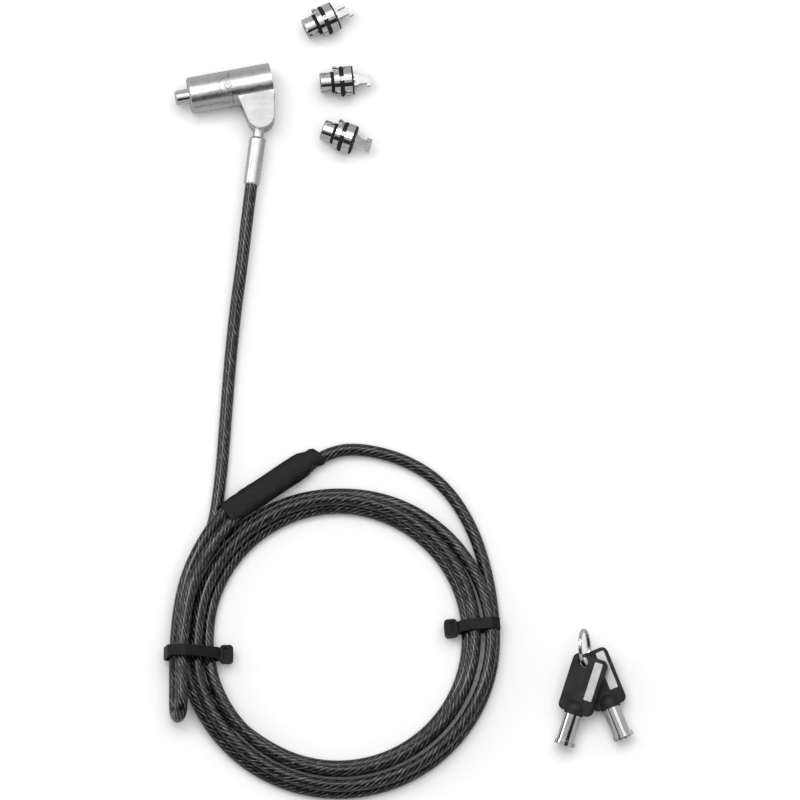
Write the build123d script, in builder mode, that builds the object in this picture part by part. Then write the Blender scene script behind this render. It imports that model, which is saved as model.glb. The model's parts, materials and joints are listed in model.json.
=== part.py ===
"""Laptop cable lock kit: swivelling lock head, jacketed steel cable with a looped end, tips and keys.

Millimetres. +Z is up from the table. The origin is under the middle of the rigid pieces' box.
Local frames: the lock and the tips have +X along their own axis, the keys have -Y along the blade.
"""

import os
from math import cos, pi, radians, sin, tan

from build123d import *

os.makedirs("parts", exist_ok=True)

# ---------------------------------------------------------------- driving dimensions
CABLE_D = 5.2

BARREL_R = 7.75
BARREL_L = 35.5
SHELL_IN_R = 6.5
SEAM_X = 17.8
SEAM_GAP = 0.2
EAR_X = 16.7
EAR_R = 3.6
EARS = (1, 121, 241)
RIVET_R = 1.6
RIVET_PROUD = 0.3

SOCKET_R = 6.55
SOCKET_X = 27.5
COLLAR_X = 23.0
COLLAR_R = 4.65

NOSE_R = 3.2
NOSE_OUT = 5.9
KEYWAY_R = 4.1
ROTOR_X = 7.0
ROTOR_L = 4.0
ROTOR_R = 5.0
SHAFT_R = 1.55
SHAFT_END_X = 21.7
PIN_COUNT = 7
PIN_CIRCLE_R = 3.67
PIN_R = 0.4
RUNNING = 0.05
PIN_BLOCK_X = ROTOR_X + ROTOR_L + RUNNING
PIN_BLOCK_END_X = 17.4

PIVOT_X = 28.0
PIVOT_Y = -14.3
LUG_R = 5.7
LUG_HALF_T = 6.1
LUG_TOP_Y = -4.6
LUG_LEFT_X = 20.2
SLOT_HALF = 2.5
SLOT_ROOF_Y = -9.1
PIVOT_PIN_R = 1.58

EYE_R = 4.4
EYE_HALF_T = 2.35
NECK_R = 2.25
FERRULE_TOP = 9.0
FERRULE_L = 20.5
FERRULE_R = 3.5
FERRULE_END_R = 3.3
SHANK_R = 1.6
SHANK_HEAD_R = 2.3
CABLE_SOCKET = 7.5

TIP_R = 6.3
BAYONET_R = 4.4
BAYONET_L = 4.6
SMALL_SEAL_R = 4.55
SMALL_SEAL_T = 1.4
RING_R = 6.1
RING_L = 2.3
SEAL_R = 6.45
SEAL_T = 1.8
SEAL_PIN_R = 1.05
TIP_FACE_X = 13.4
GASKET_T = 0.7
BLADE_L = 7.3
BLADE_T = 2.7
TIP_SHAFT_R = 1.9

BOW_W = 15.0
BOW_TOP = 3.4
BOW_BOTTOM = -21.2
BOW_LEFT = -4.7
BOW_T = 3.6
BOW_HOLE_R = 2.4
BOSS_R = 4.1
BOSS_Y = -19.8
BOSS_END_Y = -22.0
TUBE_START_Y = -18.9
KEY_AXIS_X = 2.6
KEY_TUBE_R = 3.65
KEY_BORE_R = 3.25
KEY_END_Y = -35.4
KEY_COLLAR_R = 4.0

SPLIT_RING_R = 7.95
SPLIT_RING_WIRE = 0.95
SPLIT_RING_W = 1.5

# ---------------------------------------------------------------- where things lie
# Everything is moved this far along X at the end, to centre the rigid pieces on the origin.
CENTRING = 1.47
LOCK = Location((-91.58, 118.93, BARREL_R), (0, 0, 10.6))
STEM_TURN = -7.5
PIVOT = LOCK * Pos(PIVOT_X, PIVOT_Y, 0)
STEM = Location(tuple(PIVOT.position), (0, 0, STEM_TURN))

TIPS = {
    "tip_tbar": Location((-42.7, 147.75, SEAL_R), (0, 0, 25.8)),
    "tip_nano": Location((-36.4, 124.65, SEAL_R), (0, 0, 5.5)),
    "tip_wedge": Location((-35.35, 104.85, SEAL_R), (0, 0, -19.5)),
}

RING_AT = Location((74.45, -117.05, 7.96), (0, -15, 0))
KEYS = {
    "key_front": Location((73.95, -123.8, 10.35), (0, 0, -18)) * Location((0, 0, 0), (10, -12, 0)),
    "key_back": Location((74.95, -122.9, 6.1), (0, 0, 22)) * Location((0, 0, 0), (3.6, -6, 0)),
}

# ---------------------------------------------------------------- the cable's route
COIL_X = -28.6
COIL_Y = -112.35
COIL_IN_R = 51.6
COIL_OUT_R = 66.4
LAYER_H = 5.2
TOP_IN_R = 54.9
TOP_OUT_R = 65.0
TOP_H = 5.0

SLEEVE_FROM = Vector(-37.9, -34.2, 3.6)
SLEEVE_TO = Vector(-74.8, -60.0, 8.3)
STRAND_GAP = 2.65
CRIMP_FROM = 12.6
CRIMP_L = 20.0

LEAD_ROUTE = [
    (-64.30, 88.21, 7.75),
    (-66.65, 70.36, 7.75),
    (-69.2, 47.2, 6.4),
    (-72.0, 27.2, 4.3),
    (-74.2, 5.2, 2.8),
    (-76.0, -18.9, 2.6),
    (-77.8, -42.9, 2.6),
    (-80.6, -63.4, 2.6),
    (-86.4, -79.4, 2.6),
    (-92.4, -94.9, 2.6),
]
TAIL_ROUTE = [
    (35.6, -99.9, 2.6),
    (34.1, -84.9, 2.6),
    (26.8, -62.9, 2.6),
    (14.6, -45.2, 2.6),
    (-2.8, -34.8, 2.6),
    (-23.8, -30.5, 2.8),
]
LOOP_ROUTE = [
    (-85.3, -79.1, 11.2),
    (-91.6, -95.1, 11.6),
    (-94.2, -115.4, 11.4),
    (-94.2, -131.9, 14.1),
    (-94.0, -146.3, 14.6),
    (-96.9, -146.3, 3.0),
    (-96.9, -131.9, 3.5),
    (-96.9, -115.4, 6.7),
    (-94.6, -94.1, 7.8),
    (-88.6, -76.8, 8.0),
]

TIE_W = 4.6
TIE_T = 1.1
TIE_HEAD = (5.6, 7.0, 7.0)
TIE_LEFT = [
    (50.7, 1.1),
    (69.6, 1.1),
    (72.0, 3.2),
    (72.0, 7.5),
    (70.2, 15.0),
    (64.0, 16.2),
    (54.5, 10.8),
    (50.7, 8.0),
]
TIE_RIGHT = [(51.2, 1.1), (66.8, 1.1), (66.9, 8.5), (64.5, 10.6), (56.0, 10.6), (51.2, 7.0)]


def save(piece, name):
    placed = piece.part.moved(Location((CENTRING, 0, 0)))
    placed.label = name
    export_step(placed, f"parts/{name}.step")


def on(frame, plane):
    """A plane carried along with a local frame."""
    return Plane(frame * plane.location)


def across(frame, x):
    """The plane square to a frame's own X axis, at x along it."""
    return on(frame, Plane.YZ.offset(x))


def radial(frame, x, azimuth):
    """A plane through the axis at x, facing out at an angle from straight up."""
    turn = radians(azimuth)
    return on(frame, Plane(origin=(x, 0, 0), x_dir=(1, 0, 0), z_dir=(0, sin(turn), cos(turn))))


# ---------------------------------------------------------------- lock head
def barrel_shell():
    """The plain half of the barrel, cut back round the ears of the other half."""
    with BuildPart() as shell:
        with BuildSketch(across(LOCK, 0)):
            Circle(BARREL_R)
            Circle(SHELL_IN_R, mode=Mode.SUBTRACT)
        extrude(amount=SEAM_X - SEAM_GAP / 2)
        chamfer(shell.edges().filter_by(GeomType.CIRCLE).sort_by(SortBy.RADIUS)[-2:].sort_by(Axis.X)[:1], 0.6)
        for azimuth in EARS:
            with BuildSketch(radial(LOCK, EAR_X, azimuth)):
                Circle(EAR_R + SEAM_GAP)
            extrude(amount=BARREL_R + 1, mode=Mode.SUBTRACT)
        with BuildSketch(radial(LOCK, SEAM_X / 2, -48).offset(BARREL_R - 0.2)):
            Rectangle(SEAM_X - 1.4, 0.25)
        extrude(amount=1, mode=Mode.SUBTRACT)
    return shell


def ear(azimuth):
    """A round tongue of barrel wall that laps the other shell under a rivet."""
    with BuildPart() as tongue:
        with BuildSketch(across(LOCK, EAR_X - EAR_R - 1)):
            Circle(BARREL_R)
            Circle(SHELL_IN_R, mode=Mode.SUBTRACT)
        extrude(amount=2 * EAR_R)
        with BuildSketch(radial(LOCK, EAR_X, azimuth)):
            Circle(EAR_R)
        extrude(amount=BARREL_R + 1, mode=Mode.INTERSECT)
    return tongue


def anchor_housing():
    """The other half of the barrel with the clevis lug and the tip socket."""
    ears = [ear(azimuth) for azimuth in EARS]
    with BuildPart() as housing:
        with BuildSketch(across(LOCK, SEAM_X + SEAM_GAP / 2)):
            Circle(BARREL_R)
        extrude(amount=BARREL_L - SEAM_X - SEAM_GAP / 2)
        with BuildSketch(on(LOCK, Plane.XY.offset(-LUG_HALF_T))):
            with Locations((PIVOT_X, PIVOT_Y)):
                Circle(LUG_R)
            with Locations(((LUG_LEFT_X + BARREL_L) / 2, LUG_TOP_Y - 0.3)):
                Rectangle(BARREL_L - LUG_LEFT_X, 0.6)
            make_hull()
        extrude(amount=2 * LUG_HALF_T)
        for piece in ears:
            add(piece.part)
        with BuildSketch(across(LOCK, SEAM_X)):
            Circle(SHELL_IN_R)
        extrude(amount=COLLAR_X - SEAM_X, mode=Mode.SUBTRACT)
        with BuildSketch(across(LOCK, COLLAR_X)):
            Circle(COLLAR_R)
        extrude(amount=SOCKET_X - COLLAR_X, mode=Mode.SUBTRACT)
        with BuildSketch(across(LOCK, SOCKET_X)):
            Circle(SOCKET_R)
        extrude(amount=BARREL_L - SOCKET_X, mode=Mode.SUBTRACT)
        for azimuth in (90, 270):
            with BuildSketch(radial(LOCK, COLLAR_X + 1.4, azimuth).offset(COLLAR_R - 0.5)):
                Circle(0.6)
            extrude(amount=0.8)
        slot_h = SLOT_ROOF_Y - PIVOT_Y + LUG_R + 1
        with BuildSketch(on(LOCK, Plane.XY.offset(-SLOT_HALF))):
            with Locations((PIVOT_X, SLOT_ROOF_Y - slot_h / 2)):
                Rectangle(2 * (BARREL_L - PIVOT_X) + 12, slot_h)
        extrude(amount=2 * SLOT_HALF, mode=Mode.SUBTRACT)
        with BuildSketch(on(LOCK, Plane.XY.offset(-LUG_HALF_T))):
            with Locations((PIVOT_X, PIVOT_Y)):
                Circle(PIVOT_PIN_R + 0.02)
        extrude(amount=2 * LUG_HALF_T - 1, mode=Mode.SUBTRACT)
        for azimuth in EARS:
            with BuildSketch(radial(LOCK, EAR_X, azimuth)):
                Circle(RIVET_R + 0.02)
            extrude(amount=BARREL_R + 1, mode=Mode.SUBTRACT)
        rim = housing.faces().sort_by(Axis.X)[-1].edges().filter_by(GeomType.CIRCLE).sort_by(SortBy.RADIUS)[-1:]
        chamfer(rim, 0.4)
    return housing


def body_rivets():
    """The rivets through the ears, each with a small dimple in its low head."""
    with BuildPart() as rivets:
        for azimuth in EARS:
            with BuildSketch(radial(LOCK, EAR_X, azimuth).offset(SHELL_IN_R + 0.05)):
                Circle(RIVET_R)
            extrude(amount=BARREL_R - SHELL_IN_R - 0.25 + RIVET_PROUD)
            with BuildSketch(radial(LOCK, EAR_X, azimuth).offset(BARREL_R - 0.2 + RIVET_PROUD)):
                Circle(RIVET_R)
            extrude(amount=0.2, taper=45)
            with BuildSketch(radial(LOCK, EAR_X, azimuth).offset(BARREL_R - 0.1)):
                Circle(0.55)
            extrude(amount=1, mode=Mode.SUBTRACT)
    return rivets


def lock_cylinder():
    """The fixed front sleeve: keyway outside the nose, then the rotor's chamber."""
    with BuildPart() as sleeve:
        with BuildSketch(across(LOCK, 0.4)):
            Circle(SHELL_IN_R - 0.02)
            Circle(KEYWAY_R, mode=Mode.SUBTRACT)
        extrude(amount=ROTOR_X - 0.4)
        with BuildSketch(across(LOCK, ROTOR_X)):
            Circle(SHELL_IN_R - 0.02)
            Circle(ROTOR_R + RUNNING, mode=Mode.SUBTRACT)
        extrude(amount=ROTOR_L)
        with BuildSketch(across(LOCK, 0.4)):
            with Locations((0, KEYWAY_R)):
                Rectangle(1.6, 2.0)
        extrude(amount=ROTOR_X - 1.0, mode=Mode.SUBTRACT)
    return sleeve


def rotor():
    """The turning disc that carries the key pins round the nose."""
    with BuildPart() as disc:
        with BuildSketch(across(LOCK, ROTOR_X + RUNNING)):
            Circle(ROTOR_R)
            Circle(SHAFT_R + RUNNING, mode=Mode.SUBTRACT)
            with PolarLocations(PIN_CIRCLE_R, PIN_COUNT, start_angle=90):
                Circle(PIN_R + 0.02, mode=Mode.SUBTRACT)
        extrude(amount=ROTOR_L - 2 * RUNNING)
    return disc


def pin_block():
    """The fixed block behind the rotor with a blind chamber for each driver pin."""
    with BuildPart() as block:
        with BuildSketch(across(LOCK, PIN_BLOCK_X)):
            Circle(SHELL_IN_R - 0.02)
            Circle(SHAFT_R + RUNNING, mode=Mode.SUBTRACT)
        extrude(amount=PIN_BLOCK_END_X - PIN_BLOCK_X)
        with BuildSketch(across(LOCK, PIN_BLOCK_X)):
            with PolarLocations(PIN_CIRCLE_R, PIN_COUNT, start_angle=90):
                Circle(PIN_R + 0.02)
        extrude(amount=PIN_BLOCK_END_X - PIN_BLOCK_X - 1, mode=Mode.SUBTRACT)
    return block


def pins(start, length, radius=PIN_R, bore=0.0, step=0.0):
    """One pin for each chamber; step makes them differ in length at the front."""
    with BuildPart() as row:
        for i in range(PIN_COUNT):
            cut = step * (i * 3 % PIN_COUNT)
            with BuildSketch(across(LOCK, start + cut)):
                with PolarLocations(PIN_CIRCLE_R, 1, start_angle=90 + i * 360 / PIN_COUNT):
                    Circle(radius)
                    if bore:
                        Circle(bore, mode=Mode.SUBTRACT)
            extrude(amount=length - cut)
    return row


def nose():
    """The push-in spindle: a post in the middle of the keyway, with its shaft."""
    with BuildPart() as post:
        with BuildSketch(across(LOCK, -NOSE_OUT)):
            Circle(NOSE_R)
        extrude(amount=NOSE_OUT + 3.9)
        chamfer(post.edges().filter_by(GeomType.CIRCLE).sort_by(Axis.X)[:1], 0.7)
        with BuildSketch(across(LOCK, 0.9)):
            Circle(2.7)
            Circle(SHAFT_R, mode=Mode.SUBTRACT)
        extrude(amount=3.0, mode=Mode.SUBTRACT)
        with BuildSketch(across(LOCK, 0.9)):
            Circle(SHAFT_R)
        extrude(amount=SHAFT_END_X - 0.9)
        with BuildSketch(across(LOCK, SHAFT_END_X - 1.5)):
            with Locations((0, SHAFT_R), (0, -SHAFT_R)):
                Rectangle(2 * SHAFT_R, 1.5)
        extrude(amount=1.5, mode=Mode.SUBTRACT)
        with BuildSketch(across(LOCK, PIN_BLOCK_END_X + 0.15)):
            Circle(SHAFT_R)
            Circle(1.2, mode=Mode.SUBTRACT)
        extrude(amount=0.6, mode=Mode.SUBTRACT)
    return post


def spindle_clip():
    """The clip that keeps the spindle from pulling out."""
    with BuildPart() as clip:
        with BuildSketch(across(LOCK, PIN_BLOCK_END_X + 0.17)):
            Circle(2.8)
            Circle(1.22, mode=Mode.SUBTRACT)
            with Locations((-2.0, 0)):
                Rectangle(2.4, 1.6, mode=Mode.SUBTRACT)
        extrude(amount=0.56)
    return clip


def return_spring():
    """A short coil round the shaft, drawn at its pushed-in length."""
    wire = 0.22
    with BuildPart() as spring:
        with BuildLine() as path:
            Helix(0.62, 2.2, 2.25, center=(LOCK * Pos(4.4, 0, 0)).position, direction=LOCK.x_axis.direction)
        with BuildSketch(Plane(origin=path.line @ 0, z_dir=path.line % 0)):
            Circle(wire)
        sweep(is_frenet=True)
    return spring


def pivot_pin():
    with BuildPart() as pin:
        with BuildSketch(on(LOCK, Plane.XY.offset(-LUG_HALF_T + 0.1))):
            with Locations((PIVOT_X, PIVOT_Y)):
                Circle(PIVOT_PIN_R)
        extrude(amount=2 * LUG_HALF_T - 1.2)
    return pin


# ---------------------------------------------------------------- swivel and ferrule
def swivel_stem():
    """The eye on the pivot pin, its neck, and the headed shank inside the ferrule."""
    down = on(STEM, Plane(origin=(0, 0, 0), x_dir=(1, 0, 0), z_dir=(0, -1, 0)))
    with BuildPart() as stem:
        with BuildSketch(on(STEM, Plane.XY.offset(-EYE_HALF_T))):
            Circle(EYE_R)
        extrude(amount=2 * EYE_HALF_T)
        with BuildSketch(down.offset(EYE_R - 1.2)):
            Circle(NECK_R)
        extrude(amount=FERRULE_TOP - RUNNING - EYE_R + 1.2)
        with BuildSketch(down.offset(FERRULE_TOP - 0.5)):
            Circle(SHANK_R)
        extrude(amount=4.0)
        with BuildSketch(down.offset(FERRULE_TOP + 2.6)):
            Circle(SHANK_HEAD_R)
        extrude(amount=1.5)
        with BuildSketch(on(STEM, Plane.XY.offset(-EYE_HALF_T))):
            Circle(PIVOT_PIN_R + 0.07)
        extrude(amount=2 * EYE_HALF_T, mode=Mode.SUBTRACT)
    return stem


def cable_ferrule():
    """The tapered sleeve crimped on the cable, hollow above for the swivel shank."""
    down = on(STEM, Plane(origin=(0, 0, 0), x_dir=(1, 0, 0), z_dir=(0, -1, 0)))
    end = FERRULE_TOP + FERRULE_L
    with BuildPart() as ferrule:
        with BuildSketch(down.offset(FERRULE_TOP)):
            Circle(FERRULE_R)
        with BuildSketch(down.offset(end)):
            Circle(FERRULE_END_R)
        loft()
        rims = ferrule.edges().filter_by(GeomType.CIRCLE).sort_by(Axis.Y)
        chamfer(rims[-1:], 0.9)
        chamfer(rims[:1], 0.5)
        with BuildSketch(down.offset(FERRULE_TOP)):
            Circle(SHANK_R + RUNNING)
        extrude(amount=2.5, mode=Mode.SUBTRACT)
        with BuildSketch(down.offset(FERRULE_TOP + 2.5)):
            Circle(SHANK_HEAD_R + RUNNING)
        extrude(amount=1.8, mode=Mode.SUBTRACT)
        with BuildSketch(down.offset(end - CABLE_SOCKET)):
            Circle(CABLE_D / 2)
        extrude(amount=CABLE_SOCKET, mode=Mode.SUBTRACT)
        with BuildSketch(on(STEM, Plane(origin=(-0.9, -FERRULE_TOP - 9.9, FERRULE_R - 0.45)))):
            Circle(1.1)
        extrude(amount=1, mode=Mode.SUBTRACT)
    return ferrule


# ---------------------------------------------------------------- cable, crimp, sleeve, ties
def corner_radii(points):
    """As large a bend as the runs on both sides of each point allow."""
    radii = []
    for before, here, after in zip(points, points[1:], points[2:]):
        run_in = Vector(here) - Vector(before)
        run_out = Vector(after) - Vector(here)
        turn = radians(run_in.get_angle(run_out))
        radii.append(0.45 * min(run_in.length, run_out.length) / tan(turn / 2))
    return radii


def cable(points):
    radii = corner_radii(points)
    with BuildPart() as tube:
        with BuildLine() as path:
            FilletPolyline(*points, radius=radii)
        with BuildSketch(Plane(origin=path.line @ 0, z_dir=path.line % 0)):
            Circle(CABLE_D / 2)
        sweep()
    length = path.wire().length
    section = pi * (CABLE_D / 2) ** 2
    print("bend radii", [round(r, 1) for r in radii], "smallest in diameters", round(min(radii) / CABLE_D, 2))
    print("length", round(length, 1), "volume share", round(tube.part.volume / (section * length), 3))
    return tube


def sleeve_axes():
    """The unit vectors along the sleeve and across it, level."""
    along = (SLEEVE_TO - SLEEVE_FROM).normalized()
    side = Vector(-along.Y, along.X, 0).normalized() * -1
    return along, side


def in_sleeve(distance, offset):
    """A point this far along the sleeve, off its axis toward the outside."""
    along, side = sleeve_axes()
    return tuple(SLEEVE_FROM + along * distance + side * offset)


def sleeve_plane(distance):
    along, side = sleeve_axes()
    return Plane(origin=SLEEVE_FROM + along * distance, x_dir=side, z_dir=along)


def stadium_block(start, length, width, height, hollow=None):
    """A bar with round edges along the sleeve, hollow if an inner size is given."""
    with BuildPart() as bar:
        with BuildSketch(sleeve_plane(start)):
            SlotOverall(width, height)
            if hollow:
                SlotOverall(*hollow, mode=Mode.SUBTRACT)
        extrude(amount=length)
    return bar


def tie_strap(plane, outline):
    """A closed band around the bundle, set by its inner outline."""
    with BuildPart() as strap:
        with BuildSketch(plane.offset(-TIE_W / 2)) as band:
            Polygon(*outline, align=None)
            fillet(band.vertices(), 1.2)
            offset(amount=TIE_T)
            with BuildSketch(mode=Mode.SUBTRACT) as inner:
                Polygon(*outline, align=None)
                fillet(inner.vertices(), 1.2)
        extrude(amount=TIE_W)
    return strap


def tie_head(plane, outline):
    """The moulded buckle on the inner side of the bundle."""
    depth, width, height = TIE_HEAD
    outer = outline[0][0] - TIE_T
    with BuildPart() as head:
        with BuildSketch(plane.offset(-width / 2)):
            with Locations((outer - depth / 2, 0.6 + height / 2)):
                Rectangle(depth, height)
        extrude(amount=width)
        fillet(head.edges().filter_by(Axis.Z), 1.6)
        with BuildSketch(plane.offset(-TIE_W / 2)):
            with Locations((outer - depth / 2 + 0.6, 0.6 + height)):
                Rectangle(1.6, 2.0)
        extrude(amount=TIE_W, mode=Mode.SUBTRACT)
    return head


def cable_coil(straps):
    """One closed ring for the coiled turns: a wide layer with a narrower one on it."""
    with BuildPart() as coil:
        with BuildSketch():
            with Locations((COIL_X + 0.2, COIL_Y - 1.9)):
                Circle(COIL_OUT_R)
            with Locations((COIL_X, COIL_Y)):
                Circle(COIL_IN_R, mode=Mode.SUBTRACT)
        extrude(amount=LAYER_H)
        fillet(coil.edges(), 1.9)
        with BuildSketch(Plane.XY.offset(LAYER_H - 2.0)):
            with Locations((COIL_X + 1.0, COIL_Y - 2.0)):
                Circle(TOP_OUT_R)
            with Locations((COIL_X, COIL_Y)):
                Circle(TOP_IN_R, mode=Mode.SUBTRACT)
        extrude(amount=TOP_H + 2.0)
        fillet(coil.edges().group_by(Axis.Z)[-1], 2.2)
        for strap in straps:
            add(strap.part, mode=Mode.SUBTRACT)
    return coil


# ---------------------------------------------------------------- interchangeable tips
def o_ring(plane, major, minor):
    with BuildPart() as ring:
        with BuildSketch(plane):
            with Locations((0, major)):
                Circle(minor)
        revolve(axis=Axis(plane.origin, plane.x_dir))
    return ring


def seal(frame):
    """The wide seal behind the front disc, cut through at the locating pin."""
    middle = BAYONET_L + SMALL_SEAL_T + RING_L + SEAL_T / 2
    with BuildPart() as ring:
        add(o_ring(on(frame * Pos(middle, 0, 0), Plane.XY), SEAL_R - SEAL_T / 2, SEAL_T / 2).part)
        with BuildSketch(radial(frame, middle, 0)):
            Circle(SEAL_PIN_R + 0.03)
        extrude(amount=SEAL_R + 1, mode=Mode.SUBTRACT)
    return ring


def tip_body(frame):
    """The turned body: bayonet, seal grooves, ring and front disc, bored for the blade."""
    groove = BAYONET_L + SMALL_SEAL_T
    ring_end = groove + RING_L
    seal_end = ring_end + SEAL_T
    with BuildPart() as body:
        with BuildSketch(on(frame, Plane.XY)):
            with BuildLine():
                Polyline(
                    (0, TIP_SHAFT_R + 0.06),
                    (0, BAYONET_R - 0.4),
                    (0.4, BAYONET_R),
                    (BAYONET_L, BAYONET_R),
                    (BAYONET_L, SMALL_SEAL_R - SMALL_SEAL_T),
                    (groove, SMALL_SEAL_R - SMALL_SEAL_T),
                    (groove, RING_R),
                    (ring_end, RING_R),
                    (ring_end, SEAL_R - SEAL_T),
                    (seal_end, SEAL_R - SEAL_T),
                    (seal_end, TIP_R),
                    (TIP_FACE_X, TIP_R),
                    (TIP_FACE_X, TIP_SHAFT_R + 0.06),
                    close=True,
                )
            make_face()
        revolve(axis=Axis(frame.position, frame.x_axis.direction))
        for azimuth in (-100, 80):
            with BuildSketch(radial(frame, BAYONET_L / 2, azimuth).offset(BAYONET_R - 0.8)):
                with Locations((-0.3, 0)):
                    Rectangle(BAYONET_L - 0.6, 1.3)
                with Locations((1.0, -1.2)):
                    Rectangle(1.3, 2.4)
            extrude(amount=1.5, mode=Mode.SUBTRACT)
        for azimuth in (-150, 30):
            with BuildSketch(radial(frame, 1.6, azimuth).offset(BAYONET_R - 0.3)):
                SlotOverall(2.2, 1.3)
            extrude(amount=0.75)
        with BuildSketch(radial(frame, groove + 0.4, 60).offset(RING_R - 0.4)):
            Rectangle(1.6, 2.2)
        extrude(amount=0.85)
        with BuildSketch(radial(frame, ring_end + SEAL_T / 2, 0).offset(SEAL_R - SEAL_T - 0.5)):
            Circle(SEAL_PIN_R)
        extrude(amount=TIP_R - SEAL_R + SEAL_T + 0.45)
        with BuildSketch(radial(frame, ring_end + SEAL_T / 2, 0).offset(TIP_R - 0.4)):
            Circle(0.5)
        extrude(amount=1, mode=Mode.SUBTRACT)
    return body


def gasket(frame):
    with BuildPart() as disc:
        with BuildSketch(across(frame, TIP_FACE_X)):
            Circle(RING_R)
            Circle(TIP_SHAFT_R + 0.06, mode=Mode.SUBTRACT)
        extrude(amount=GASKET_T)
    return disc


def blade_outline(kind):
    """Half-outlines differ: a forked T, a stepped hook, and a waisted wedge."""
    if kind == "tip_tbar":
        return [
            (-1.5, -1.9), (BLADE_L - 2.0, -1.9), (BLADE_L - 2.0, -3.1), (BLADE_L - 0.5, -3.1), (BLADE_L, -2.4),
            (BLADE_L, 0.4), (1.8, 0.4), (1.3, 0.95), (1.8, 1.5), (BLADE_L - 2.2, 1.5),
            (BLADE_L - 2.2, 1.9), (BLADE_L - 2.0, 3.1), (BLADE_L - 2.2, 3.1), (BLADE_L - 2.2, 2.2), (-1.5, 2.2),
        ]
    if kind == "tip_nano":
        return [
            (-1.5, -2.5), (1.6, -2.5), (2.4, -1.9), (BLADE_L - 1.8, -1.9), (BLADE_L - 1.8, -3.2),
            (BLADE_L - 0.5, -3.2), (BLADE_L, -2.3), (BLADE_L, 1.2), (2.8, 1.2), (1.6, 2.4), (-1.5, 2.4),
        ]
    return [
        (-1.5, -2.3), (1.4, -2.3), (3.2, -1.1), (BLADE_L - 2.2, -1.1), (BLADE_L - 2.2, -2.9), (BLADE_L, -2.9),
        (BLADE_L, 2.9), (BLADE_L - 2.2, 2.9), (BLADE_L - 2.2, 1.1), (3.2, 1.1), (1.4, 2.3), (-1.5, 2.3),
    ]


def blade(frame, kind, turn):
    """The part that goes into the laptop's slot, on a shaft through the body."""
    start = TIP_FACE_X + GASKET_T
    tilted = frame * Location((0, 0, 0), (turn, 0, 0))
    with BuildPart() as tongue:
        with BuildSketch(on(tilted, Plane.XY.offset(-BLADE_T / 2))):
            with Locations((start, 0)):
                Polygon(*blade_outline(kind), align=None)
        extrude(amount=BLADE_T)
        with BuildSketch(across(tilted, 0)):
            Circle(8)
        extrude(amount=start + 0.1, mode=Mode.SUBTRACT)
        with BuildSketch(across(tilted, 0.8)):
            Circle(TIP_SHAFT_R)
        extrude(amount=start + 0.6 - 0.8)
        with BuildSketch(across(tilted, 0.8)):
            Rectangle(2 * TIP_SHAFT_R, 1.0)
        extrude(amount=1.4, mode=Mode.SUBTRACT)
    return tongue


# ---------------------------------------------------------------- keys
def key_bow(frame):
    """The moulded grip with its ring hole, label recess and the boss round the tube."""
    middle = (BOW_TOP + BOW_BOTTOM) / 2
    with BuildPart() as bow:
        with BuildSketch(on(frame, Plane.XY.offset(-BOW_T / 2))):
            with Locations((BOW_LEFT + BOW_W / 2, middle)):
                RectangleRounded(BOW_W, BOW_TOP - BOW_BOTTOM, 2.6)
        extrude(amount=BOW_T)
        fillet(bow.faces().sort_by(SortBy.AREA)[-2:].edges(), 0.7)
        with BuildSketch(on(frame, Plane.XY)):
            with BuildLine():
                RadiusArc((KEY_AXIS_X, BOSS_Y + BOSS_R), (KEY_AXIS_X + BOSS_R, BOSS_Y), BOSS_R)
                Polyline(
                    (KEY_AXIS_X + BOSS_R, BOSS_Y),
                    (KEY_AXIS_X + BOSS_R, BOSS_END_Y),
                    (KEY_AXIS_X, BOSS_END_Y),
                    (KEY_AXIS_X, BOSS_Y + BOSS_R),
                )
            make_face()
        revolve(axis=Axis((frame * Pos(KEY_AXIS_X, 0, 0)).position, frame.y_axis.direction))
        with BuildSketch(on(frame, Plane.XY.offset(-BOW_T / 2))):
            Circle(BOW_HOLE_R)
        extrude(amount=BOW_T, mode=Mode.SUBTRACT)
        with BuildSketch(on(frame, Plane.XY.offset(BOW_T / 2 - 0.3))):
            with Locations((7.0, -6.5)):
                RectangleRounded(3.6, 16.6, 0.5)
        extrude(amount=1, mode=Mode.SUBTRACT)
        with BuildSketch(on(frame, Plane(origin=(KEY_AXIS_X, TUBE_START_Y, 0), x_dir=(1, 0, 0), z_dir=(0, -1, 0)))):
            Circle(KEY_TUBE_R)
        extrude(amount=20, mode=Mode.SUBTRACT)
    return bow


def key_label(frame):
    with BuildPart() as label:
        with BuildSketch(on(frame, Plane.XY.offset(BOW_T / 2 - 0.29))):
            with Locations((7.0, -6.5)):
                RectangleRounded(3.5, 16.5, 0.45)
        extrude(amount=0.3)
    return label


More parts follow.
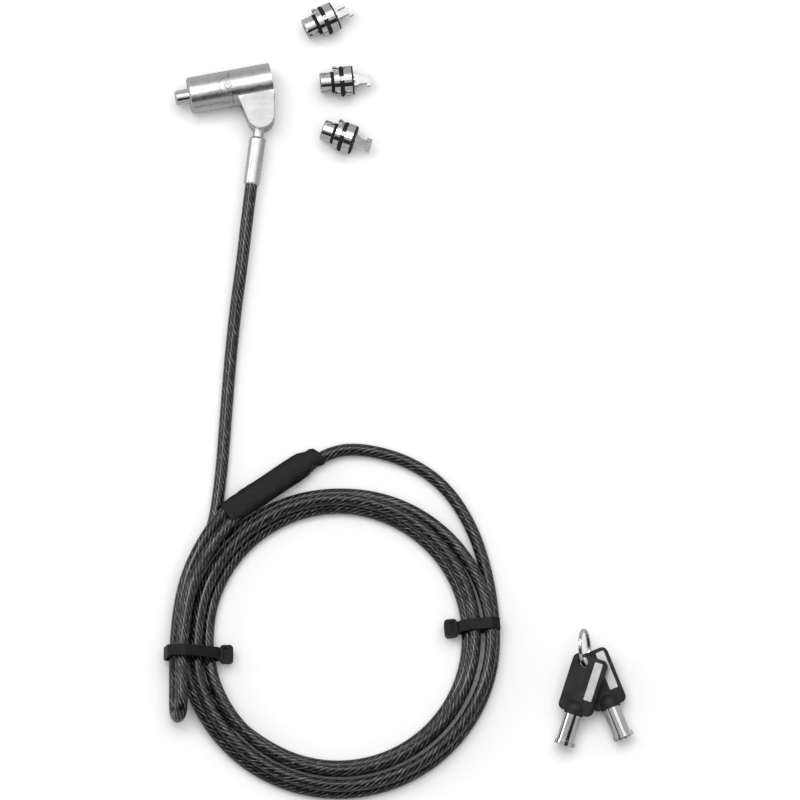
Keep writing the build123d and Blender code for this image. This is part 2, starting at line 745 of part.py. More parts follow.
def key_tube(frame):
    """The round blade: a tube with a collar, a side lug and seven end cuts."""
    blade_plane = on(frame, Plane(origin=(KEY_AXIS_X, 0, 0), x_dir=(1, 0, 0), z_dir=(0, -1, 0)))
    with BuildPart() as tube:
        with BuildSketch(blade_plane.offset(-TUBE_START_Y)):
            Circle(KEY_TUBE_R)
        extrude(amount=TUBE_START_Y - KEY_END_Y)
        with BuildSketch(blade_plane.offset(-KEY_END_Y - 2.0)):
            Circle(KEY_COLLAR_R)
        extrude(amount=2.0)
        with BuildSketch(blade_plane.offset(-KEY_END_Y - 1.9)):
            with Locations((KEY_COLLAR_R, 0)):
                Rectangle(1.4, 1.3)
        extrude(amount=1.7)
        with BuildSketch(blade_plane.offset(-KEY_END_Y - 13)):
            Circle(KEY_BORE_R)
        extrude(amount=13, mode=Mode.SUBTRACT)
        for i in range(PIN_COUNT):
            with BuildSketch(blade_plane.offset(-KEY_END_Y - 0.5 - 0.25 * (i * 3 % PIN_COUNT))):
                with PolarLocations(PIN_CIRCLE_R, 1, start_angle=115 + i * 38):
                    Circle(0.62)
            extrude(amount=3, mode=Mode.SUBTRACT)
        with BuildSketch(on(frame, Plane(origin=(KEY_AXIS_X, -29.2, KEY_TUBE_R - 0.25)))):
            Rectangle(0.35, 7.5)
        extrude(amount=1, mode=Mode.SUBTRACT)
    return tube


def key_ring():
    """A double-wound split ring, drawn as one ring with the line between its coils."""
    inner = SPLIT_RING_R - SPLIT_RING_WIRE
    with BuildPart() as ring:
        with BuildSketch(on(RING_AT, Plane.YZ.offset(-SPLIT_RING_W / 2))):
            Circle(SPLIT_RING_R)
            Circle(inner, mode=Mode.SUBTRACT)
        extrude(amount=SPLIT_RING_W)
        fillet(ring.edges(), 0.35)
        with BuildSketch(on(RING_AT, Plane.YZ.offset(-0.06))):
            Circle(SPLIT_RING_R + 0.1)
            Circle(SPLIT_RING_R - 0.22, mode=Mode.SUBTRACT)
        extrude(amount=0.12, mode=Mode.SUBTRACT)
    return ring


# ---------------------------------------------------------------- build and write
save(barrel_shell(), "barrel_shell")
save(anchor_housing(), "anchor_housing")
save(body_rivets(), "body_rivets")
save(lock_cylinder(), "lock_cylinder")
save(rotor(), "rotor")
save(pin_block(), "pin_block")
save(pins(6.2, ROTOR_X + ROTOR_L - 6.2, step=0.12), "key_pins")
save(pins(PIN_BLOCK_X, 2.9), "driver_pins")
save(pins(PIN_BLOCK_X + 2.9, 2.4, radius=0.36, bore=0.2), "pin_springs")
save(nose(), "nose")
save(spindle_clip(), "spindle_clip")
save(return_spring(), "return_spring")
save(pivot_pin(), "pivot_pin")
save(swivel_stem(), "swivel_stem")
save(cable_ferrule(), "cable_ferrule")

TIE_PLANES = {
    "tie_left": (Plane(origin=(COIL_X, -119.2, 0), x_dir=(-1, 0, 0), z_dir=(0, 1, 0)), TIE_LEFT),
    "tie_right": (
        Plane(origin=(COIL_X, COIL_Y, 0), x_dir=(cos(radians(5)), sin(radians(5)), 0),
              z_dir=(sin(radians(5)), -cos(radians(5)), 0)),
        TIE_RIGHT,
    ),
}
straps = []
for name, (plane, outline) in TIE_PLANES.items():
    strap = tie_strap(plane, outline)
    straps.append(strap)
    save(strap, f"{name}_strap")
    save(tie_head(plane, outline), f"{name}_head")
save(cable_coil(straps), "cable_coil")

SLEEVE_L = (SLEEVE_TO - SLEEVE_FROM).length
CRIMP_TO = CRIMP_FROM + CRIMP_L
save(cable(LEAD_ROUTE), "cable_lead")
save(
    cable([*TAIL_ROUTE, in_sleeve(0, -1.3), in_sleeve(8, -STRAND_GAP), in_sleeve(CRIMP_FROM, -STRAND_GAP)]),
    "cable_tail",
)
save(
    cable(
        [
            in_sleeve(CRIMP_TO, -STRAND_GAP),
            in_sleeve(SLEEVE_L, -STRAND_GAP),
            *LOOP_ROUTE,
            in_sleeve(SLEEVE_L, STRAND_GAP),
            in_sleeve(CRIMP_TO, STRAND_GAP),
        ]
    ),
    "cable_loop",
)
save(stadium_block(CRIMP_FROM, CRIMP_L, 10.5, 5.3), "loop_crimp")
save(stadium_block(0, SLEEVE_L, 11.2, 6.0, hollow=(10.56, 5.36)), "loop_sleeve")

for (name, frame), turn in zip(TIPS.items(), (0, 0, 60)):
    save(tip_body(frame), f"{name}_body")
    small_at = BAYONET_L + SMALL_SEAL_T / 2
    save(
        o_ring(on(frame * Pos(small_at, 0, 0), Plane.XY), SMALL_SEAL_R - SMALL_SEAL_T / 2, SMALL_SEAL_T / 2),
        f"{name}_small_seal",
    )
    save(seal(frame), f"{name}_seal")
    save(gasket(frame), f"{name}_gasket")
    save(blade(frame, name, turn), f"{name}_blade")

for name, frame in KEYS.items():
    save(key_bow(frame), f"{name}_bow")
    save(key_label(frame), f"{name}_label")
    save(key_tube(frame), f"{name}_tube")
save(key_ring(), "key_ring")
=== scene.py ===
"""Looks for the cable lock kit, in metres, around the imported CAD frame."""

import json
import math

import bpy
import numpy as np
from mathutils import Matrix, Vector


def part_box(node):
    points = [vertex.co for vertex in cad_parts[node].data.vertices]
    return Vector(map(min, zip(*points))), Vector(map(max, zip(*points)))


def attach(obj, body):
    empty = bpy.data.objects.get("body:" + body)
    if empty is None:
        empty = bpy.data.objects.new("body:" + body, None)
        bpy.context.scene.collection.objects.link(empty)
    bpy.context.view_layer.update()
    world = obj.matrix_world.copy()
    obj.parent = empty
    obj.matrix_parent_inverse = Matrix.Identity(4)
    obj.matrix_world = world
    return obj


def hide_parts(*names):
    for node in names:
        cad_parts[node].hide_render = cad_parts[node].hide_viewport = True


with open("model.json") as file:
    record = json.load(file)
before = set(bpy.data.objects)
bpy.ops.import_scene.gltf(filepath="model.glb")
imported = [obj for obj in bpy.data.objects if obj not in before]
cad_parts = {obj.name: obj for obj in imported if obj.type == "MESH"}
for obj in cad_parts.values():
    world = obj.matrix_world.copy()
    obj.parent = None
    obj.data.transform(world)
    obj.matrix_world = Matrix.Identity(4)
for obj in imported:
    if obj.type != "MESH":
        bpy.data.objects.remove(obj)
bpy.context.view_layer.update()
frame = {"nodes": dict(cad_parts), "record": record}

MM = 0.001
CENTRING = Vector((1.47, 0, 0))


def mm(*values):
    """A point of the lists below, in millimetres, as a place in the frame in metres."""
    return (Vector(values) + CENTRING) * MM


# ------------------------------------------------------------------ camera
AIM = mm(-2.8, -9.85, 0)
ELEVATION = math.radians(79)
DISTANCE = 8.0
SPAN = 0.336

camera = bpy.data.objects.new("camera", bpy.data.cameras.new("camera"))
bpy.context.scene.collection.objects.link(camera)
bpy.context.scene.camera = camera
back = Vector((0, -math.cos(ELEVATION), math.sin(ELEVATION)))
camera.location = AIM + back * DISTANCE
camera.rotation_mode = "QUATERNION"
camera.rotation_quaternion = (-back).to_track_quat("-Z", "Y")
camera.data.sensor_width = 36
camera.data.lens = 36 * DISTANCE / SPAN
camera.data.clip_start = 0.01
camera.data.clip_end = 50


# ------------------------------------------------------------------ the cable's route
CABLE_D = 5.2
COIL = (-28.6, -112.35)

LEAD = [
    (-64.30, 88.21, 7.75),
    (-66.65, 70.36, 7.75),
    (-69.2, 47.2, 6.4),
    (-72.0, 27.2, 4.3),
    (-74.2, 5.2, 2.8),
    (-76.0, -18.9, 2.6),
    (-77.8, -42.9, 2.6),
    (-80.6, -63.4, 2.6),
    (-86.4, -79.4, 2.6),
    (-92.4, -94.9, 2.6),
]
# Angle anticlockwise from the keys' side, then radius and height, along the coiled turns.
TURNS = [
    (180, 66.8, 2.6), (190, 63.6, 2.9), (200, 60.4, 2.6), (210, 57.2, 2.6), (225, 54.4, 2.6),
    (270, 54.2, 2.6), (350, 54.2, 2.6), (365, 54.2, 3.7), (400, 55.0, 2.6), (450, 56.0, 2.6),
    (500, 55.2, 2.6), (540, 54.6, 3.4), (560, 55.2, 6.6), (575, 55.6, 7.2), (600, 56.2, 7.2),
    (630, 56.9, 7.2), (720, 57.1, 7.1), (810, 58.8, 7.1), (900, 59.1, 7.0), (920, 61.4, 7.8),
    (945, 62.0, 7.6), (990, 63.3, 7.6), (1080, 64.1, 7.8), (1121, 63.0, 5.0), (1170, 61.5, 2.6),
    (1215, 62.0, 2.6), (1230, 62.8, 3.8), (1255, 64.6, 7.4), (1270, 65.2, 8.0), (1283, 65.2, 7.2),
    (1297, 65.2, 3.9), (1312, 65.2, 2.6), (1350, 65.4, 2.6), (1425, 65.2, 2.6), (1441, 65.2, 3.7),
    (1451, 65.2, 2.6),
]
TAIL = [
    (34.1, -84.9, 2.6),
    (26.8, -62.9, 2.6),
    (14.6, -45.2, 2.6),
    (-2.8, -34.8, 2.6),
    (-23.8, -30.5, 2.8),
]
SLEEVE_FROM = Vector((-37.9, -34.2, 3.6))
SLEEVE_TO = Vector((-74.8, -60.0, 8.3))
SLEEVE_L = (SLEEVE_TO - SLEEVE_FROM).length
STRAND_GAP = 2.65
MOUTH_GAP = 1.3
MOUTH_DEPTH = 8
CRIMP_FROM = 12.6
CRIMP_TO = 32.6
ALONG = (SLEEVE_TO - SLEEVE_FROM).normalized()
SIDE = Vector((ALONG.y, -ALONG.x, 0)).normalized()
LOOP = [
    (-85.3, -79.1, 11.2),
    (-91.6, -95.1, 11.6),
    (-94.2, -115.4, 11.4),
    (-94.2, -131.9, 14.1),
    (-94.0, -146.3, 14.6),
    (-96.9, -146.3, 3.0),
    (-96.9, -131.9, 3.5),
    (-96.9, -115.4, 6.7),
    (-94.6, -94.1, 7.8),
    (-88.6, -76.8, 8.0),
]


def in_sleeve(distance, offset):
    """A point this far along the sleeve, off its middle towards the outside of the coil."""
    return tuple(SLEEVE_FROM + ALONG * distance + SIDE * offset)


def coil_points(step=18):
    """Control points of the coiled turns, a little outside the line that the spline then takes."""
    stations = np.array(TURNS, float)
    swell = 1 / math.cos(math.radians(step / 2))
    points = []
    for angle in np.arange(stations[0, 0], stations[-1, 0] - step * 0.6, step):
        r = np.interp(angle, stations[:, 0], stations[:, 1]) * swell
        z = np.interp(angle, stations[:, 0], stations[:, 2])
        a = math.radians(angle)
        points.append((COIL[0] + r * math.cos(a), COIL[1] + r * math.sin(a), z))
    return points


def nurbs(name, points):
    """A quadratic spline that starts and ends on its outer control points."""
    curve = bpy.data.curves.new(name, "CURVE")
    curve.dimensions = "3D"
    curve.resolution_u = 8
    spline = curve.splines.new("NURBS")
    spline.points.add(len(points) - 1)
    for target, p in zip(spline.points, points):
        target.co = (*mm(*p), 1)
    spline.order_u = 3
    spline.use_endpoint_u = True
    return curve


def line_of(points, name="route"):
    """The smooth line that a spline with these control points takes."""
    route = bpy.data.objects.new(name, nurbs(name, points))
    bpy.context.scene.collection.objects.link(route)
    bpy.context.view_layer.update()
    mesh = bpy.data.meshes.new_from_object(route.evaluated_get(bpy.context.evaluated_depsgraph_get()))
    line = np.array([v.co for v in mesh.vertices])
    bpy.data.objects.remove(route)
    bpy.data.meshes.remove(mesh)
    return line


def even(line, gap):
    """The same line with points a steady distance apart."""
    seg = np.linalg.norm(np.diff(line, axis=0), axis=1)
    keep = np.concatenate([[True], seg > 1e-7])
    line = line[keep]
    s = np.concatenate([[0], np.cumsum(np.linalg.norm(np.diff(line, axis=0), axis=1))])
    count = max(2, int(round(s[-1] / gap)))
    t = np.linspace(0, s[-1], count + 1)
    return np.stack([np.interp(t, s, line[:, k]) for k in range(3)], 1), s[-1]


def frames_along(line):
    """Tangent, normal and binormal at each point, turned as little as possible."""
    tangent = np.gradient(line, axis=0)
    tangent /= np.linalg.norm(tangent, axis=1)[:, None]
    normal = np.zeros_like(line)
    start = np.cross(tangent[0], (0, 0, 1.0))
    normal[0] = start / np.linalg.norm(start)
    for i in range(1, len(line)):
        n = normal[i - 1] - tangent[i] * (normal[i - 1] @ tangent[i])
        normal[i] = n / np.linalg.norm(n)
    return tangent, normal, np.cross(tangent, normal)


def mesh_object(name, verts, faces, uvs=None, smooth=True):
    """A new mesh in the scene, with its texture coordinates if they are given."""
    mesh = bpy.data.meshes.new(name)
    mesh.from_pydata([tuple(v) for v in verts], [], faces)
    if uvs is not None:
        layer = mesh.uv_layers.new(name="UVMap")
        layer.data.foreach_set("uv", np.asarray(uvs, np.float32).ravel())
    mesh.polygons.foreach_set("use_smooth", [smooth] * len(mesh.polygons))
    mesh.update()
    obj = bpy.data.objects.new(name, mesh)
    bpy.context.scene.collection.objects.link(obj)
    return obj


def tube(name, line, radius, sides=20):
    """A round tube on a line, with u in metres along it and v once round it."""
    _, normal, binormal = frames_along(line)
    turn = np.linspace(0, 2 * math.pi, sides, endpoint=False)
    ring = np.cos(turn)[None, :, None] * normal[:, None] + np.sin(turn)[None, :, None] * binormal[:, None]
    verts = (line[:, None] + ring * radius).reshape(-1, 3)
    far = np.concatenate([[0], np.cumsum(np.linalg.norm(np.diff(line, axis=0), axis=1))])
    faces, uvs = [], []
    for i in range(len(line) - 1):
        for j in range(sides):
            k = (j + 1) % sides
            faces.append((i * sides + j, i * sides + k, (i + 1) * sides + k, (i + 1) * sides + j))
            low_v, high_v = j / sides, (j + 1) / sides
            uvs += [(far[i], low_v), (far[i], high_v), (far[i + 1], high_v), (far[i + 1], low_v)]
    last = (len(line) - 1) * sides
    faces.append(tuple(range(sides))[::-1])
    uvs += [(0, 0)] * sides
    faces.append(tuple(last + j for j in range(sides)))
    uvs += [(far[-1], 0)] * sides
    return mesh_object(name, verts, faces, uvs)


route = [
    *LEAD,
    *coil_points(),
    *TAIL,
    in_sleeve(0, -MOUTH_GAP),
    in_sleeve(MOUTH_DEPTH, -STRAND_GAP),
    in_sleeve(CRIMP_FROM, -STRAND_GAP),
    in_sleeve(CRIMP_TO, -STRAND_GAP),
    in_sleeve(SLEEVE_L, -STRAND_GAP),
    *LOOP,
    in_sleeve(SLEEVE_L, STRAND_GAP),
    in_sleeve(CRIMP_TO, STRAND_GAP),
]
cable_line, cable_length = even(line_of(route), 0.0016)
cable = tube("cable", cable_line, CABLE_D / 2 * MM)
print("cable length", round(cable_length, 4), "points", len(cable_line))


# ------------------------------------------------------------------ materials
class Nodes:
    """A Principled material with short ways to add the usual nodes."""

    def __init__(self, name, base, rough, metal=0.0, **sockets):
        self.mat = bpy.data.materials.new(name)
        self.mat.use_nodes = True
        self.tree = self.mat.node_tree
        self.bsdf = self.tree.nodes["Principled BSDF"]
        self.set("Base Color", (*base, 1) if len(base) == 3 else base)
        self.set("Roughness", rough)
        self.set("Metallic", metal)
        for socket, value in sockets.items():
            self.set(socket.replace("_", " "), value)

    def set(self, socket, value):
        self.bsdf.inputs[socket].default_value = value

    def add(self, kind, **settings):
        node = self.tree.nodes.new(kind)
        for key, value in settings.items():
            if key in node.inputs:
                node.inputs[key].default_value = value
            else:
                setattr(node, key, value)
        return node

    def link(self, out, socket):
        self.tree.links.new(out, socket)

    def coords(self, kind="Object", scale=(1, 1, 1), rotation=(0, 0, 0)):
        source = self.add("ShaderNodeTexCoord")
        mapping = self.add("ShaderNodeMapping")
        mapping.inputs["Scale"].default_value = scale
        mapping.inputs["Rotation"].default_value = rotation
        self.link(source.outputs[kind], mapping.inputs["Vector"])
        return mapping.outputs["Vector"]

    def noise(self, vector, scale, detail=4.0, rough=0.55):
        node = self.add("ShaderNodeTexNoise")
        node.inputs["Scale"].default_value = scale
        node.inputs["Detail"].default_value = detail
        node.inputs["Roughness"].default_value = rough
        self.link(vector, node.inputs["Vector"])
        return node.outputs["Fac"]

    def span(self, value, low, high, start=0.3, end=0.7):
        node = self.add("ShaderNodeMapRange")
        for key, v in zip(("From Min", "From Max", "To Min", "To Max"), (start, end, low, high)):
            node.inputs[key].default_value = v
        self.link(value, node.inputs["Value"])
        return node.outputs["Result"]

    def ramp(self, value, *stops):
        node = self.add("ShaderNodeValToRGB")
        ramp = node.color_ramp
        while len(ramp.elements) < len(stops):
            ramp.elements.new(0.5)
        for element, (at, colour) in zip(ramp.elements, stops):
            element.position = at
            element.color = (*colour, 1)
        self.link(value, node.inputs["Fac"])
        return node.outputs["Color"]

    def math(self, kind, a, b=None):
        node = self.add("ShaderNodeMath", operation=kind)
        for socket, value in zip(node.inputs, (a, b)):
            if value is None:
                continue
            if isinstance(value, (int, float)):
                socket.default_value = value
            else:
                self.link(value, socket)
        return node.outputs["Value"]

    def roughness(self, value):
        self.link(value, self.bsdf.inputs["Roughness"])

    def colour(self, value):
        self.link(value, self.bsdf.inputs["Base Color"])

    def bump(self, height, distance, edge=0.0, strength=1.0):
        """Surface relief in metres, on corners softened by a small radius."""
        node = self.add("ShaderNodeBump")
        node.inputs["Strength"].default_value = strength
        node.inputs["Distance"].default_value = distance
        self.link(height, node.inputs["Height"])
        if edge:
            corner = self.add("ShaderNodeBevel")
            corner.samples = 4
            corner.inputs["Radius"].default_value = edge
            self.link(corner.outputs["Normal"], node.inputs["Normal"])
        self.link(node.outputs["Normal"], self.bsdf.inputs["Normal"])


def satin_chrome():
    m = Nodes("satin_chrome", (0.80, 0.80, 0.81), 0.26, 1.0, Anisotropic=0.35)
    grain = m.noise(m.coords(scale=(90, 1400, 1400), rotation=(0, 0, math.radians(-10.6))), 1.0, 3, 0.6)
    cloud = m.noise(m.coords(scale=(1, 1, 1)), 260, 5, 0.6)
    m.colour(m.ramp(cloud, (0.30, (0.72, 0.72, 0.73)), (0.70, (0.84, 0.84, 0.85))))
    m.roughness(m.math("ADD", m.span(grain, 0.0, 0.09), m.span(cloud, 0.18, 0.30)))
    m.bump(grain, 0.000012, edge=0.00018)
    return m.mat


def lug_chrome(centre, reach):
    """The housing's chrome, with the flat sides of the lug blasted to an even satin."""
    m = Nodes("lug_chrome", (0.80, 0.80, 0.81), 0.26, 1.0, Anisotropic=0.3)
    grain = m.noise(m.coords(scale=(90, 1400, 1400), rotation=(0, 0, math.radians(-10.6))), 1.0, 3, 0.6)
    cloud = m.noise(m.coords(), 260, 5, 0.6)
    fine = m.noise(m.coords(), 5200, 2, 0.5)
    geometry = m.add("ShaderNodeNewGeometry")
    split = m.add("ShaderNodeSeparateXYZ")
    m.link(geometry.outputs["True Normal"], split.inputs[0])
    level = m.math("GREATER_THAN", m.math("ABSOLUTE", split.outputs["Z"]), 0.995)
    place = m.add("ShaderNodeTexCoord")
    away = m.add("ShaderNodeVectorMath", operation="DISTANCE")
    away.inputs[1].default_value = centre
    m.link(place.outputs["Object"], away.inputs[0])
    near = m.math("LESS_THAN", away.outputs["Value"], reach)
    flat = m.math("MULTIPLY", level, near)
    base = m.ramp(cloud, (0.30, (0.72, 0.72, 0.73)), (0.70, (0.84, 0.84, 0.85)))
    pale = m.ramp(fine, (0.30, (0.66, 0.66, 0.665)), (0.70, (0.76, 0.76, 0.765)))
    mix = m.add("ShaderNodeMix", data_type="RGBA")
    m.link(flat, mix.inputs["Factor"])
    m.link(base, [s for s in mix.inputs if s.name == "A" and s.type == "RGBA"][0])
    m.link(pale, [s for s in mix.inputs if s.name == "B" and s.type == "RGBA"][0])
    m.colour([s for s in mix.outputs if s.type == "RGBA"][0])
    plain = m.math("ADD", m.span(grain, 0.0, 0.09), m.span(cloud, 0.18, 0.30))
    m.roughness(m.math("ADD", plain, m.math("MULTIPLY", flat, m.span(fine, 0.22, 0.32))))
    m.bump(m.math("ADD", grain, m.math("MULTIPLY", flat, fine)), 0.000012, edge=0.00018)
    return m.mat


def bright_chrome():
    m = Nodes("bright_chrome", (0.86, 0.86, 0.87), 0.07, 1.0)
    cloud = m.noise(m.coords(), 420, 5, 0.6)
    scratch = m.noise(m.coords(scale=(2600, 160, 2600)), 1.0, 2, 0.5)
    m.colour(m.ramp(cloud, (0.30, (0.80, 0.80, 0.81)), (0.70, (0.90, 0.90, 0.91))))
    m.roughness(m.math("ADD", m.span(cloud, 0.05, 0.12), m.span(scratch, 0.0, 0.05, 0.55, 0.75)))
    m.bump(scratch, 0.000004, edge=0.00015)
    return m.mat


def metal(name, low, high, rough):
    """A plain turned or drawn metal, faintly clouded."""
    m = Nodes(name, low, rough, 1.0)
    cloud = m.noise(m.coords(), 700, 5, 0.6)
    m.colour(m.ramp(cloud, (0.30, low), (0.70, high)))
    m.roughness(m.span(cloud, rough - 0.06, rough + 0.10))
    m.bump(cloud, 0.000008, edge=0.0001)
    return m.mat


def moulded(name, base, worn, rough, grain_scale, grain_depth, edge=0.0002, **sockets):
    """A dark moulding with a fine grain."""
    m = Nodes(name, base, rough, 0.0, **sockets)
    grain = m.noise(m.coords(), grain_scale, 3, 0.55)
    cloud = m.noise(m.coords(), 180, 4, 0.6)
    m.colour(m.ramp(cloud, (0.35, base), (0.75, worn)))
    m.roughness(m.math("ADD", m.span(grain, -0.04, 0.05), m.span(cloud, rough - 0.06, rough + 0.08)))
    m.bump(grain, grain_depth, edge=edge)
    return m.mat


def key_label():
    m = Nodes("key_label", (0.72, 0.72, 0.73), 0.35, 0.85)
    fine = m.noise(m.coords(), 2600, 3, 0.6)
    cloud = m.noise(m.coords(), 320, 4, 0.6)
    m.colour(m.ramp(cloud, (0.30, (0.62, 0.62, 0.63)), (0.70, (0.78, 0.78, 0.79))))
    m.roughness(m.math("ADD", m.span(fine, 0.0, 0.08), m.span(cloud, 0.30, 0.42)))
    m.bump(fine, 0.00002)
    return m.mat


def cable_jacket():
    """Dark wire strands laid in a helix under a clear, glossy jacket; the base colour carries painted
    highlights on the wire crests and painted shade between the strand bundles.
    """
    gloss = {"Coat_Weight": 0.9, "Coat_Roughness": 0.08, "Specular_IOR_Level": 0.15}
    m = Nodes("cable_jacket", (0.02, 0.02, 0.021), 0.34, 0.0, **gloss)
    source = m.add("ShaderNodeUVMap")
    split = m.add("ShaderNodeSeparateXYZ")
    m.link(source.outputs["UV"], split.inputs[0])
    along, around = split.outputs["X"], split.outputs["Y"]
    wires = 10
    lay = 0.030
    strand = m.math("FRACT", m.math("MULTIPLY", m.math("ADD", around, m.math("DIVIDE", along, lay)), wires))
    height = m.math("SINE", m.math("MULTIPLY", strand, math.pi))
    bundle = m.math("FRACT", m.math("MULTIPLY", m.math("ADD", around, m.math("DIVIDE", along, lay)), 6))
    lobe = m.math("SINE", m.math("MULTIPLY", bundle, math.pi))
    glint = m.noise(m.coords(scale=(1, 1, 1)), 420, 3, 0.6)
    # painted highlight: the narrow crest of each wire is lightened in the base colour, dimmed at random by
    # the glint noise
    painted_crest_highlight = m.math("MULTIPLY", m.math("POWER", height, 9.0), m.span(glint, 0.15, 1.0))
    # the lobe term adds painted shade, darker in the grooves between the strand bundles
    painted_light_tone = m.math("ADD", m.math("MULTIPLY", painted_crest_highlight, 0.9), m.math("MULTIPLY", lobe, 0.1))
    # the gap colour is painted shade between the bundles; the glint colour is the painted highlight on the
    # wire crests
    gap, wire, painted_highlight_colour = (0.002, 0.002, 0.002), (0.007, 0.007, 0.008), (0.30, 0.30, 0.31)
    m.colour(m.ramp(painted_light_tone, (0.0, gap), (0.35, wire), (1.0, painted_highlight_colour)))
    m.roughness(m.span(glint, 0.24, 0.42))
    m.bump(m.math("ADD", m.math("MULTIPLY", height, 0.4), m.math("MULTIPLY", lobe, 0.6)), 0.00022)
    return m.mat


def heat_shrink():
    m = Nodes("heat_shrink", (0.012, 0.012, 0.013), 0.55, 0.0, Specular_IOR_Level=0.22)
    wrinkle = m.noise(m.coords(scale=(1, 1, 1)), 240, 4, 0.6)
    fine = m.noise(m.coords(), 3000, 2, 0.5)
    # painted shade: the base colour follows the wrinkle relief, darker in its creases and lighter on its
    # crests
    m.colour(m.ramp(wrinkle, (0.3, (0.005, 0.005, 0.0055)), (0.75, (0.014, 0.014, 0.015))))
    m.roughness(m.math("ADD", m.span(wrinkle, 0.44, 0.62), m.span(fine, -0.03, 0.04)))
    m.bump(m.math("ADD", wrinkle, m.math("MULTIPLY", fine, 0.15)), 0.0004)
    return m.mat


lug_low, lug_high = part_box("pivot_pin")
lug_centre = (lug_low + lug_high) / 2
MATERIALS = {
    "satin_chrome": satin_chrome(),
    "bright_chrome": bright_chrome(),
    "steel": metal("steel", (0.42, 0.42, 0.43), (0.60, 0.60, 0.61), 0.26),
    "spring_steel": metal("spring_steel", (0.40, 0.40, 0.42), (0.56, 0.56, 0.58), 0.22),
    "brass": metal("brass", (0.55, 0.38, 0.14), (0.72, 0.53, 0.24), 0.24),
    "crimp_alloy": metal("crimp_alloy", (0.45, 0.45, 0.46), (0.62, 0.62, 0.63), 0.38),
    "cable_jacket": cable_jacket(),
    "heat_shrink": heat_shrink(),
    "tie_nylon": moulded(
        "tie_nylon", (0.007, 0.007, 0.008), (0.015, 0.015, 0.016), 0.40, 900, 0.00003, Specular_IOR_Level=0.16
    ),
    "seal_rubber": moulded(
        "seal_rubber", (0.010, 0.010, 0.010), (0.026, 0.026, 0.026), 0.50, 2600, 0.00003, edge=0.0,
        Specular_IOR_Level=0.2,
    ),
    "key_plastic": moulded(
        "key_plastic", (0.013, 0.013, 0.014), (0.030, 0.030, 0.031), 0.42, 3800, 0.00002,
        Specular_IOR_Level=0.2,
    ),
    "key_label": key_label(),
}
LUG = lug_chrome(tuple(lug_centre), 0.0125)

for part in frame["record"]["subparts"]:
    node = frame["nodes"].get(part["node"])
    if node is None:
        continue
    made = LUG if part["node"] == "anchor_housing" else MATERIALS[part["material_slot"]]
    if node.material_slots:
        node.material_slots[0].material = made
    else:
        node.data.materials.append(made)


def finish_piece(piece, slot, body, *nodes):
    """Give a new piece its material and body, and hide the CAD nodes that it stands for."""
    piece.data.materials.append(MATERIALS[slot])
    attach(piece, body)
    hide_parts(*nodes)
    return piece


# ------------------------------------------------------------------ heat-shrink sleeve
# Distance along, offset of the middle, width and height: bell mouth, neck, crimp, loop's end.
SECTIONS = [
    (-0.8, -1.0, 8.0, 6.4), (0.4, -0.6, 8.6, 6.6), (1.6, -0.4, 8.6, 6.6), (2.8, -0.1, 7.9, 6.1),
    (4.0, 0.1, 8.2, 5.9), (5.4, 0.1, 9.4, 6.0), (7.2, 0.1, 10.7, 6.1), (10.0, 0.0, 10.9, 6.2),
    (13.0, 0.0, 11.0, 6.4), (16.0, 0.0, 10.9, 6.2), (22.0, 0.0, 10.8, 6.1), (28.0, 0.0, 10.8, 6.1),
    (31.5, 0.0, 11.0, 6.3), (33.5, 0.0, 11.0, 6.3), (35.5, 0.0, 10.8, 6.0), (38.0, 0.0, 10.7, 5.8),
    (41.0, 0.0, 10.7, 5.7), (44.0, 0.0, 10.8, 5.9), (46.4, 0.0, 10.9, 6.2),
]


def sleeve(rings=90, sides=40, wall=0.35):
    """A thin closed skin along the sleeve's axis, outside and inside, with shallow creases."""
    at = np.array(SECTIONS, float)
    up = ALONG.cross(SIDE)
    if up.z < 0:
        up = -up
    grid = []
    for s in np.linspace(at[0, 0], at[-1, 0], rings):
        offset, width, height = (np.interp(s, at[:, 0], at[:, k]) for k in (1, 2, 3))
        grid.append((s, offset, width, height))
    values = np.array(grid)
    for k in (1, 2, 3):
        kernel = np.array([1, 2, 3, 2, 1]) / 9
        padded = np.concatenate([[values[0, k]] * 2, values[:, k], [values[-1, k]] * 2])
        values[:, k] = np.convolve(padded, kernel, "valid")
    verts = []
    for layer in (0, 1):
        for s, offset, width, height in values:
            for j in range(sides):
                a = 2 * math.pi * j / sides
                flat = width - height
                c, si = math.cos(a), math.sin(a)
                x = math.copysign(flat / 2, c) * min(1, abs(c) * 3) + c * (height / 2)
                z = si * height / 2
                creasing = 0.10 if s < 9 or s > 34 else 0.035
                crease = creasing * math.sin(5 * a + s * 0.9) * math.sin(s * 0.55 + 1.0)
                scale = 1 + (crease / 4) - layer * wall / 4
                ragged = 0.5 * math.sin(2 * a + 0.6) * max(0, 1 - abs(s - at[0, 0]) / 3)
                p = SLEEVE_FROM + ALONG * (s + ragged) + SIDE * (offset + x * scale) + up * (z * scale)
                verts.append(mm(*p))
    n = len(values)
    faces = []
    for layer in (0, 1):
        for i in range(n - 1):
            for j in range(sides):
                k = (j + 1) % sides
                a, b = layer * n * sides + i * sides, layer * n * sides + (i + 1) * sides
                quad = (a + j, a + k, b + k, b + j)
                faces.append(quad if layer == 0 else quad[::-1])
    for row in (0, n - 1):
        for j in range(sides):
            k = (j + 1) % sides
            o, i = row * sides, n * sides + row * sides
            quad = (o + j, i + j, i + k, o + k)
            faces.append(quad if row == 0 else quad[::-1])
    return mesh_object("sleeve_skin", verts, faces)


sleeve_skin = finish_piece(sleeve(), "heat_shrink", "cable_run", "loop_sleeve")
finish_piece(cable, "cable_jacket", "cable_run", "cable_lead", "cable_coil", "cable_tail", "cable_loop")


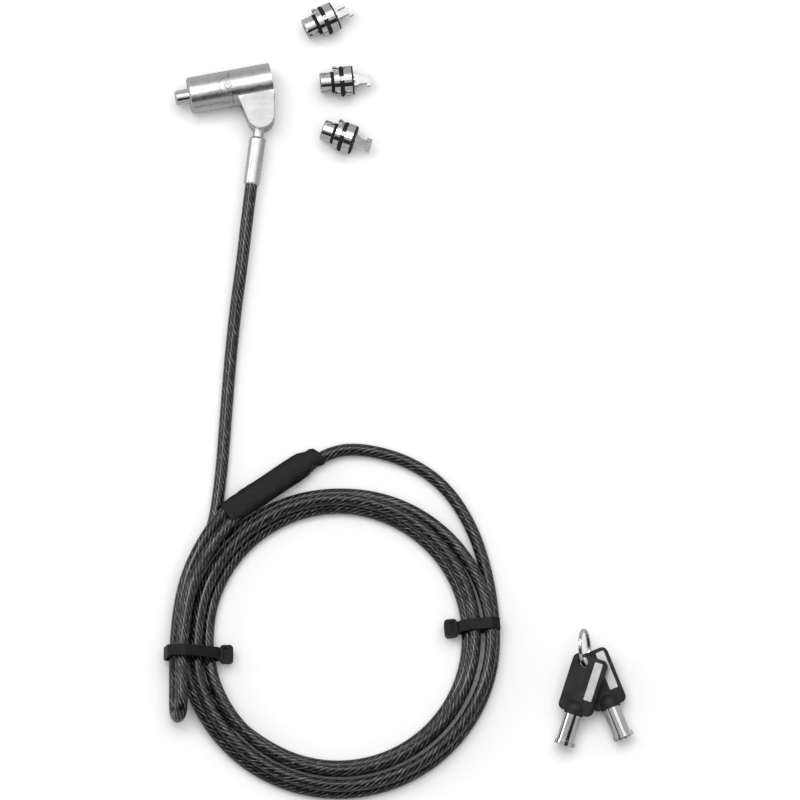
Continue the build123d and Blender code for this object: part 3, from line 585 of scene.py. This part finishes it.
# ------------------------------------------------------------------ floor and light
def stage_plane(name, size, place, aim, colour, rough=0.6, painted_reflection_colour=None):
    """A flat sheet of the studio, which glossy rays can be made to see in another colour: a painted
    reflection.
    """
    x, y = size[0] / 2, size[1] / 2
    corners = [(-x, -y, 0), (x, -y, 0), (x, y, 0), (-x, y, 0)]
    obj = mesh_object(name, corners, [(0, 1, 2, 3)], smooth=False)
    obj.location = place
    if aim is not None:
        obj.rotation_mode = "QUATERNION"
        obj.rotation_quaternion = (Vector(aim) - Vector(place)).to_track_quat("Z", "Y")
    made = Nodes(name, colour, rough)
    # painted reflection: glossy rays see this colour instead of the sheet's own
    if painted_reflection_colour:
        rays = made.add("ShaderNodeLightPath")
        made.colour(made.ramp(rays.outputs["Is Glossy Ray"], (0.0, colour), (1.0, painted_reflection_colour)))
    obj.data.materials.append(made.mat)
    return obj


BELOW_FEET = -0.00005
# the floor shows 0.38 grey to glossy rays only, a painted dark reflection at the chrome's edges
stage_plane("floor", (8, 8), (0, 0, BELOW_FEET), None, (0.90, 0.90, 0.90), painted_reflection_colour=(0.38, 0.38, 0.38))


def area(name, place, aim, size, power):
    """A rectangular lamp that the camera doesn't see."""
    data = bpy.data.lights.new(name, "AREA")
    data.shape = "RECTANGLE"
    data.size, data.size_y = size
    data.energy = power
    obj = bpy.data.objects.new(name, data)
    bpy.context.scene.collection.objects.link(obj)
    obj.location = place
    obj.rotation_mode = "QUATERNION"
    obj.rotation_quaternion = (Vector(aim) - Vector(place)).to_track_quat("-Z", "Y")
    obj.visible_camera = False
    return obj


def from_aim(bearing, lean, distance):
    """A point this far from the table's middle, leaning off the vertical towards a compass bearing."""
    flat = distance * math.sin(math.radians(lean))
    turn = math.radians(bearing)
    return (flat * math.sin(turn), flat * math.cos(turn), distance * math.cos(math.radians(lean)))


area("strip_west", (-0.47, 0.30, 1.5), (0, 0, 0), (0.12, 0.9), 2.2)
area("strip_north", (0.0, 0.73, 1.4), (0, 0, 0), (0.9, 0.12), 2.2)
area("soft_box", from_aim(0, 24, 1.5), (0, 0, 0), (2.8, 1.3), 7.0)
fill = area("fill_light", (0, 0, 1.8), (0, 0, 0), (2.0, 2.0), 18.0)
fill.visible_glossy = False
area("side_light", from_aim(-80, 66, 1.6), (0, 0, 0), (0.9, 0.5), 3.0)

dark = stage_plane("dark_card", (2.8, 0.85), from_aim(180, 35, 1.4), (0, 0, 0), (0.01, 0.01, 0.01))
dark.visible_camera = False
dark.visible_shadow = False
dark.visible_diffuse = False

world = bpy.data.worlds.new("world")
bpy.context.scene.world = world
world.use_nodes = True
world.node_tree.nodes["Background"].inputs["Color"].default_value = (1, 1, 1, 1)
world.node_tree.nodes["Background"].inputs["Strength"].default_value = 0.42
bpy.context.scene.view_settings.view_transform = "Standard"
